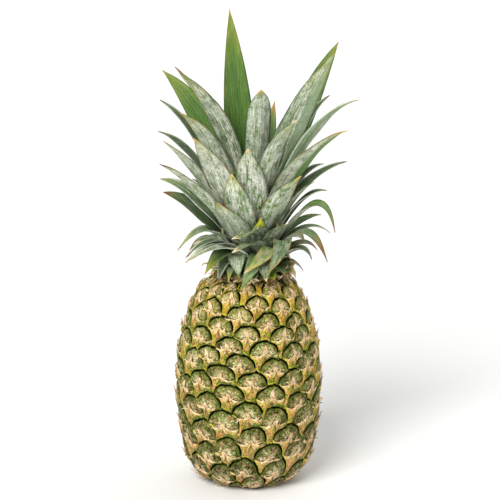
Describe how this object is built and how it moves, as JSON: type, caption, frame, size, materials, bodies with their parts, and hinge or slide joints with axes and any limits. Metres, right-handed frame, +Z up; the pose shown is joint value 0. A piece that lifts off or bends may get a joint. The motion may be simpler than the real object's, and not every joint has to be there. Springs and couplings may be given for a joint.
{
  "type": "pineapple",
  "caption": "Whole ripe pineapple standing on its base, rind of spiralling eyes with pointed bracts and a full spreading crown of stiff channelled leaves.",
  "frame": {"origin": "middle of the flat spot the fruit stands on, on the fruit's axis", "axes": "+Z up along the fruit's axis to the crown, -Y towards the side shown first, +X to the right of it"},
  "size_m": [0.1678, 0.1325, 0.4071],
  "materials": {
    "rind": "waxy mottled rind, golden and olive eyes with dark seams and papery bract tips",
    "cut_stalk": "dry fibrous cut end, pale tan",
    "leaf": "stiff waxy leaf, green inside and silvery grey bloom on the back, dry brown tips"
  },
  "bodies": {
    "root": {"fruit": "rind", "stalk": "cut_stalk", "crown": "leaf"}
  },
  "joints": []
}
